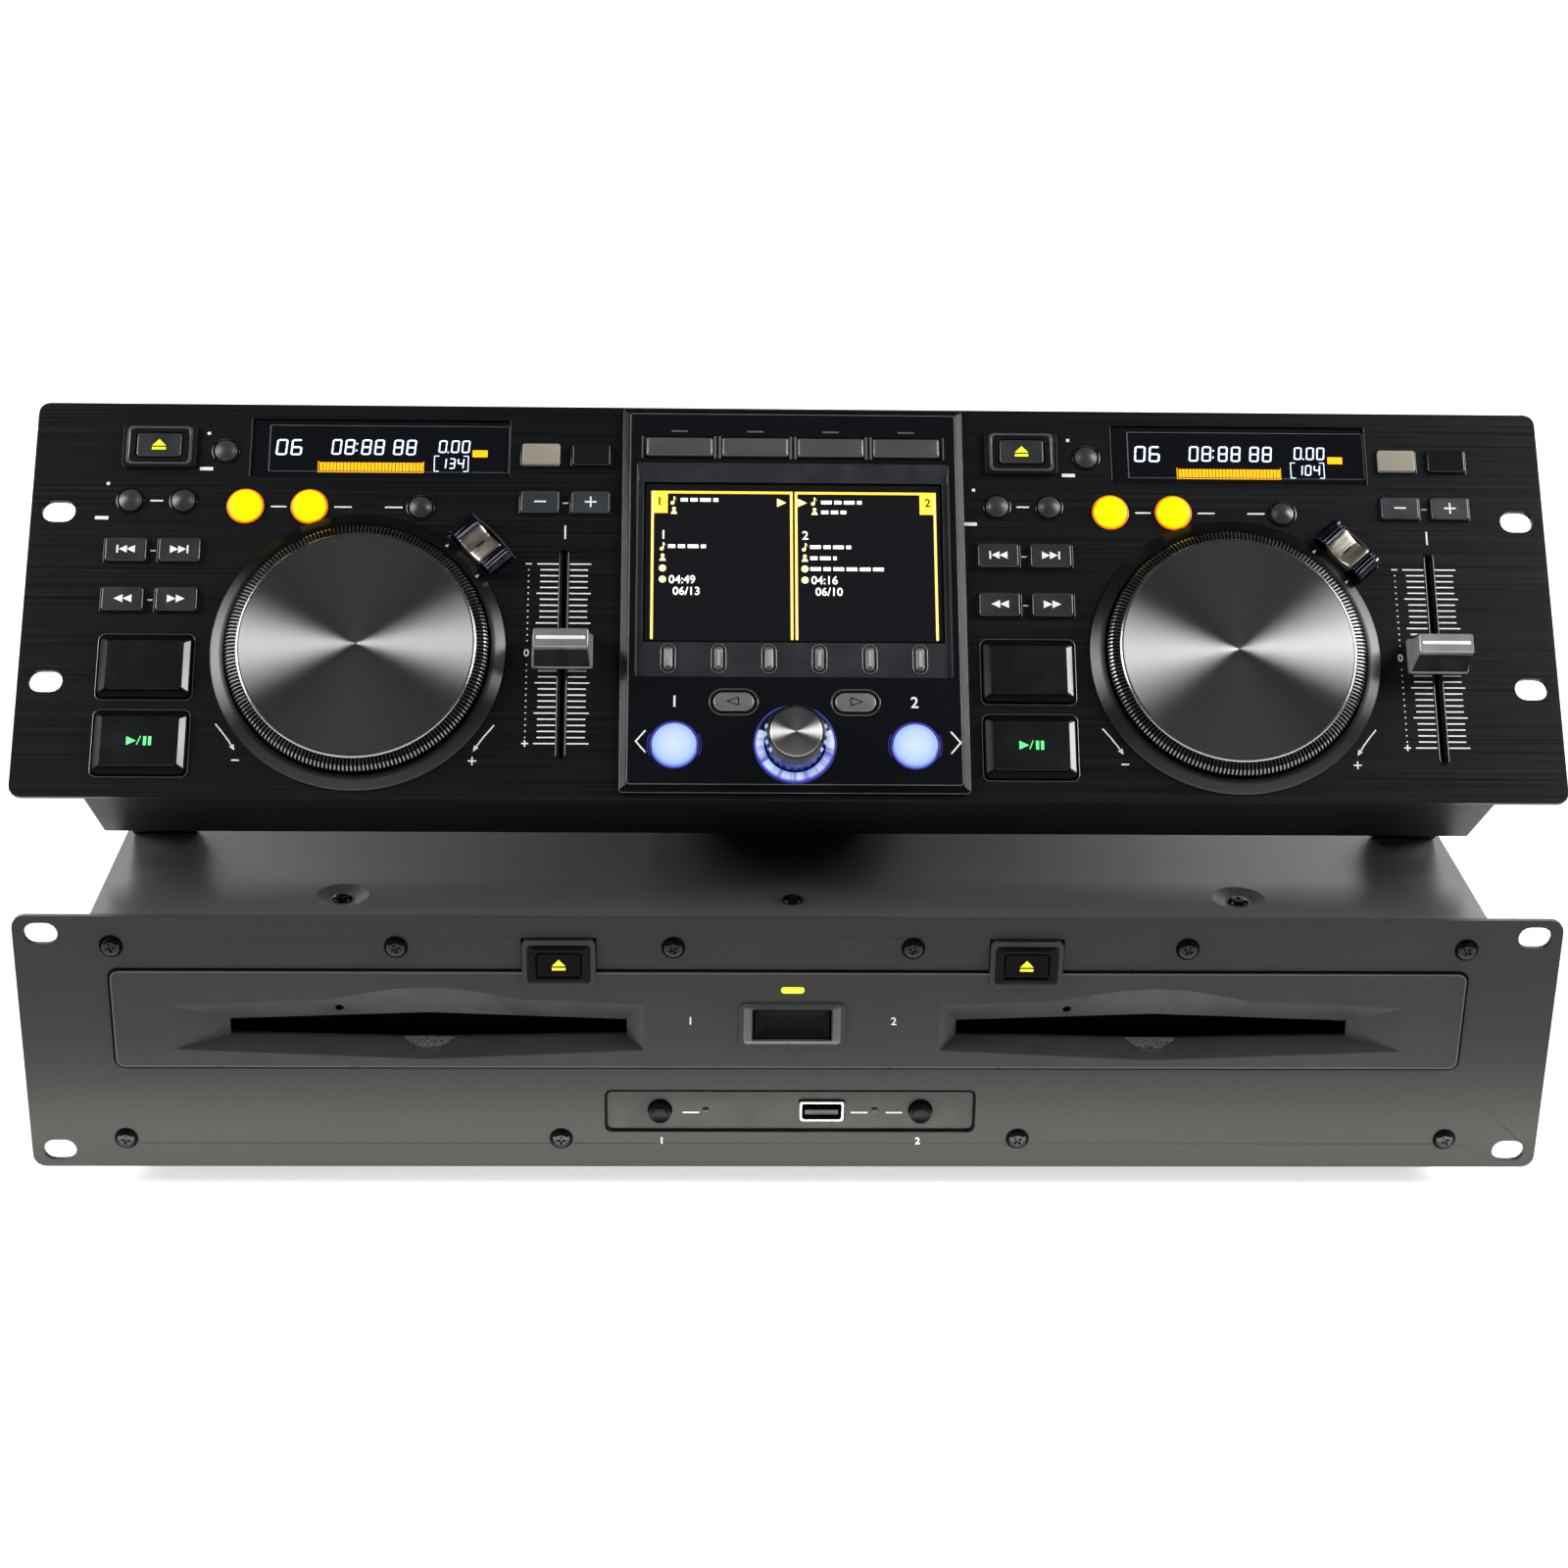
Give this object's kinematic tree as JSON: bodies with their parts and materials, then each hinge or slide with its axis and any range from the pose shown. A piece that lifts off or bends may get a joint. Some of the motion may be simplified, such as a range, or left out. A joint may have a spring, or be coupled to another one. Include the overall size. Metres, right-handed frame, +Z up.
{
  "type": "dual disc player for a DJ",
  "caption": "Rack-mount twin disc player: a controller with jog wheels, faders, keys and a screen leans back on a slot-loading drive unit.",
  "frame": {"origin": "on the ground, under the middle of the bounding box", "axes": "+X to the right along the panels, -Y out of the drive unit's front, +Z up"},
  "size_m": [0.4826, 0.3012, 0.2326],
  "materials": {
    "console_gloss": "high gloss",
    "panel_black_anodised": "brushed, black anodised",
    "circuit_board": "solder mask",
    "case_paint": "semi-gloss paint",
    "bracket_paint": "satin paint",
    "key_gloss": "high gloss",
    "spindle_plastic": "satin",
    "display_window": "smoked window",
    "plated_steel": "zinc plated",
    "fascia_plastic": "satin",
    "soft_rubber": "matte",
    "panel_paint": "fine textured paint",
    "knob_silver": "silver top on a black body",
    "bezel_metal": "dark satin",
    "lever_chrome": "dark chrome with a grey middle",
    "platter_metal": "spun",
    "yellow_lens": "lit lens",
    "key_satin": "satin",
    "screen_window": "clear window over a lit display",
    "selector_clear": "clear body, lit blue",
    "inset_plastic": "satin",
    "socket_metal": "nickel plated",
    "key_black": "satin"
  },
  "bodies": {
    "drive_unit": {"drive_chassis": "plated_steel", "drive_panel": "panel_paint", "top_cover": "case_paint", "drive_fascia": "fascia_plastic", "usb_panel": "inset_plastic", "usb_socket": "socket_metal", "loader_left": "plated_steel", "loader_right": "plated_steel", "drive_board": "circuit_board", "drive_feet": "soft_rubber", "rear_connectors": "inset_plastic"},
    "controller": {"control_panel": "panel_black_anodised", "controller_housing": "case_paint", "console_frame": "console_gloss", "screen": "screen_window", "display_window_left": "display_window", "display_window_right": "display_window", "jog_bezel_left": "bezel_metal", "jog_bezel_right": "bezel_metal", "controller_board": "circuit_board", "controller_stand": "bracket_paint"},
    "jog_wheel_left": {"jog_wheel_left": "platter_metal"},
    "jog_lever_left": {"jog_lever_left": "lever_chrome"},
    "fader_left": {"fader_left": "knob_silver"},
    "cue_key_left": {"cue_key_left": "key_gloss"},
    "play_key_left": {"play_key_left": "key_gloss"},
    "loop_in_key_left": {"loop_in_key_left": "yellow_lens"},
    "loop_out_key_left": {"loop_out_key_left": "yellow_lens"},
    "time_key_left": {"time_key_left": "key_satin"},
    "reloop_key_left": {"reloop_key_left": "key_satin"},
    "eject_key_left": {"eject_key_left": "key_gloss"},
    "search_keys_left": {"search_keys_left": "key_satin"},
    "tempo_keys_left": {"tempo_keys_left": "key_satin"},
    "load_key_left": {"load_key_left": "key_gloss"},
    "jog_wheel_right": {"jog_wheel_right": "platter_metal"},
    "jog_lever_right": {"jog_lever_right": "lever_chrome"},
    "fader_right": {"fader_right": "knob_silver"},
    "cue_key_right": {"cue_key_right": "key_gloss"},
    "play_key_right": {"play_key_right": "key_gloss"},
    "loop_in_key_right": {"loop_in_key_right": "yellow_lens"},
    "loop_out_key_right": {"loop_out_key_right": "yellow_lens"},
    "time_key_right": {"time_key_right": "key_satin"},
    "reloop_key_right": {"reloop_key_right": "key_satin"},
    "eject_key_right": {"eject_key_right": "key_gloss"},
    "search_keys_right": {"search_keys_right": "key_satin"},
    "tempo_keys_right": {"tempo_keys_right": "key_satin"},
    "load_key_right": {"load_key_right": "key_gloss"},
    "tab_keys": {"tab_keys": "key_satin"},
    "soft_keys": {"soft_keys": "key_satin"},
    "menu_keys": {"menu_keys": "key_gloss"},
    "selector_knob": {"selector_knob": "selector_clear"},
    "disc_eject_key_left": {"disc_eject_key_left": "key_gloss"},
    "usb_stop_key_left": {"usb_stop_key_left": "key_black"},
    "feed_roller_left": {"feed_roller_left": "soft_rubber"},
    "disc_spindle_left": {"disc_spindle_left": "spindle_plastic"},
    "disc_eject_key_right": {"disc_eject_key_right": "key_gloss"},
    "usb_stop_key_right": {"usb_stop_key_right": "key_black"},
    "feed_roller_right": {"feed_roller_right": "soft_rubber"},
    "disc_spindle_right": {"disc_spindle_right": "spindle_plastic"},
    "power_key": {"power_key": "key_gloss"}
  },
  "joints": [
    {"name": "controller_lift", "type": "slide", "parent": "drive_unit", "child": "controller", "axis": [0, 0, 1], "range_m": [0, 0.1]},
    {"name": "jog_wheel_left_spin", "type": "hinge", "parent": "controller", "child": "jog_wheel_left", "pos_m": [-0.1363, -0.10662, 0.16752], "axis": [0, -0.7604, 0.6494], "continuous": true},
    {"name": "jog_lever_left_rock", "type": "hinge", "parent": "controller", "child": "jog_lever_left", "pos_m": [-0.09904, -0.08382, 0.19423], "axis": [0.7278, 0.4454, 0.5215], "range_deg": [-8, 8], "stiffness_Nm_per_rad": 0.2},
    {"name": "fader_left_slide", "type": "slide", "parent": "controller", "child": "fader_left", "axis": [0, 0.6494, 0.7604], "range_m": [-0.03, 0.03]},
    {"name": "cue_key_left_press", "type": "slide", "parent": "controller", "child": "cue_key_left", "axis": [0, 0.7604, -0.6494], "range_m": [0, 0.001], "stiffness_N_per_m": 500},
    {"name": "play_key_left_press", "type": "slide", "parent": "controller", "child": "play_key_left", "axis": [0, 0.7604, -0.6494], "range_m": [0, 0.001], "stiffness_N_per_m": 500},
    {"name": "loop_in_key_left_press", "type": "slide", "parent": "controller", "child": "loop_in_key_left", "axis": [0, 0.7604, -0.6494], "range_m": [0, 0.001], "stiffness_N_per_m": 500},
    {"name": "loop_out_key_left_press", "type": "slide", "parent": "controller", "child": "loop_out_key_left", "axis": [0, 0.7604, -0.6494], "range_m": [0, 0.001], "stiffness_N_per_m": 500},
    {"name": "time_key_left_press", "type": "slide", "parent": "controller", "child": "time_key_left", "axis": [0, 0.7604, -0.6494], "range_m": [0, 0.001], "stiffness_N_per_m": 500},
    {"name": "reloop_key_left_press", "type": "slide", "parent": "controller", "child": "reloop_key_left", "axis": [0, 0.7604, -0.6494], "range_m": [0, 0.001], "stiffness_N_per_m": 500},
    {"name": "eject_key_left_press", "type": "slide", "parent": "controller", "child": "eject_key_left", "axis": [0, 0.7604, -0.6494], "range_m": [0, 0.001], "stiffness_N_per_m": 500},
    {"name": "search_keys_left_press", "type": "slide", "parent": "controller", "child": "search_keys_left", "axis": [0, 0.7604, -0.6494], "range_m": [0, 0.001], "stiffness_N_per_m": 500},
    {"name": "tempo_keys_left_press", "type": "slide", "parent": "controller", "child": "tempo_keys_left", "axis": [0, 0.7604, -0.6494], "range_m": [0, 0.001], "stiffness_N_per_m": 500},
    {"name": "load_key_left_press", "type": "slide", "parent": "controller", "child": "load_key_left", "axis": [0, 0.7604, -0.6494], "range_m": [0, 0.001], "stiffness_N_per_m": 500},
    {"name": "jog_wheel_right_spin", "type": "hinge", "parent": "controller", "child": "jog_wheel_right", "pos_m": [0.1392, -0.10662, 0.16752], "axis": [0, -0.7604, 0.6494], "continuous": true},
    {"name": "jog_lever_right_rock", "type": "hinge", "parent": "controller", "child": "jog_lever_right", "pos_m": [0.17646, -0.08382, 0.19423], "axis": [0.7278, 0.4454, 0.5215], "range_deg": [-8, 8], "stiffness_Nm_per_rad": 0.2},
    {"name": "fader_right_slide", "type": "slide", "parent": "controller", "child": "fader_right", "axis": [0, 0.6494, 0.7604], "range_m": [-0.03, 0.03]},
    {"name": "cue_key_right_press", "type": "slide", "parent": "controller", "child": "cue_key_right", "axis": [0, 0.7604, -0.6494], "range_m": [0, 0.001], "stiffness_N_per_m": 500},
    {"name": "play_key_right_press", "type": "slide", "parent": "controller", "child": "play_key_right", "axis": [0, 0.7604, -0.6494], "range_m": [0, 0.001], "stiffness_N_per_m": 500},
    {"name": "loop_in_key_right_press", "type": "slide", "parent": "controller", "child": "loop_in_key_right", "axis": [0, 0.7604, -0.6494], "range_m": [0, 0.001], "stiffness_N_per_m": 500},
    {"name": "loop_out_key_right_press", "type": "slide", "parent": "controller", "child": "loop_out_key_right", "axis": [0, 0.7604, -0.6494], "range_m": [0, 0.001], "stiffness_N_per_m": 500},
    {"name": "time_key_right_press", "type": "slide", "parent": "controller", "child": "time_key_right", "axis": [0, 0.7604, -0.6494], "range_m": [0, 0.001], "stiffness_N_per_m": 500},
    {"name": "reloop_key_right_press", "type": "slide", "parent": "controller", "child": "reloop_key_right", "axis": [0, 0.7604, -0.6494], "range_m": [0, 0.001], "stiffness_N_per_m": 500},
    {"name": "eject_key_right_press", "type": "slide", "parent": "controller", "child": "eject_key_right", "axis": [0, 0.7604, -0.6494], "range_m": [0, 0.001], "stiffness_N_per_m": 500},
    {"name": "search_keys_right_press", "type": "slide", "parent": "controller", "child": "search_keys_right", "axis": [0, 0.7604, -0.6494], "range_m": [0, 0.001], "stiffness_N_per_m": 500},
    {"name": "tempo_keys_right_press", "type": "slide", "parent": "controller", "child": "tempo_keys_right", "axis": [0, 0.7604, -0.6494], "range_m": [0, 0.001], "stiffness_N_per_m": 500},
    {"name": "load_key_right_press", "type": "slide", "parent": "controller", "child": "load_key_right", "axis": [0, 0.7604, -0.6494], "range_m": [0, 0.001], "stiffness_N_per_m": 500},
    {"name": "tab_keys_press", "type": "slide", "parent": "controller", "child": "tab_keys", "axis": [0, 0.7604, -0.6494], "range_m": [0, 0.001], "stiffness_N_per_m": 500},
    {"name": "soft_keys_press", "type": "slide", "parent": "controller", "child": "soft_keys", "axis": [0, 0.7604, -0.6494], "range_m": [0, 0.001], "stiffness_N_per_m": 500},
    {"name": "menu_keys_press", "type": "slide", "parent": "controller", "child": "menu_keys", "axis": [0, 0.7604, -0.6494], "range_m": [0, 0.001], "stiffness_N_per_m": 500},
    {"name": "selector_knob_turn", "type": "hinge", "parent": "controller", "child": "selector_knob", "pos_m": [0, -0.12665, 0.14407], "axis": [0, -0.7604, 0.6494], "continuous": true},
    {"name": "disc_eject_key_left_press", "type": "slide", "parent": "drive_unit", "child": "disc_eject_key_left", "axis": [0, 1, 0], "range_m": [0, 0.001], "stiffness_N_per_m": 500},
    {"name": "usb_stop_key_left_press", "type": "slide", "parent": "drive_unit", "child": "usb_stop_key_left", "axis": [0, 1, 0], "range_m": [0, 0.001], "stiffness_N_per_m": 500},
    {"name": "feed_roller_left_turn", "type": "hinge", "parent": "drive_unit", "child": "feed_roller_left", "pos_m": [-0.1144, -0.1234, 0.04845], "axis": [1, 0, 0], "continuous": true},
    {"name": "disc_spindle_left_turn", "type": "hinge", "parent": "drive_unit", "child": "disc_spindle_left", "pos_m": [-0.1144, -0.0589, 0.05295], "axis": [0, 0, 1], "continuous": true},
    {"name": "disc_eject_key_right_press", "type": "slide", "parent": "drive_unit", "child": "disc_eject_key_right", "axis": [0, 1, 0], "range_m": [0, 0.001], "stiffness_N_per_m": 500},
    {"name": "usb_stop_key_right_press", "type": "slide", "parent": "drive_unit", "child": "usb_stop_key_right", "axis": [0, 1, 0], "range_m": [0, 0.001], "stiffness_N_per_m": 500},
    {"name": "feed_roller_right_turn", "type": "hinge", "parent": "drive_unit", "child": "feed_roller_right", "pos_m": [0.1144, -0.1234, 0.04845], "axis": [1, 0, 0], "continuous": true},
    {"name": "disc_spindle_right_turn", "type": "hinge", "parent": "drive_unit", "child": "disc_spindle_right", "pos_m": [0.1144, -0.0589, 0.05295], "axis": [0, 0, 1], "continuous": true},
    {"name": "power_key_press", "type": "slide", "parent": "drive_unit", "child": "power_key", "axis": [0, 1, 0], "range_m": [0, 0.001], "stiffness_N_per_m": 500}
  ]
}
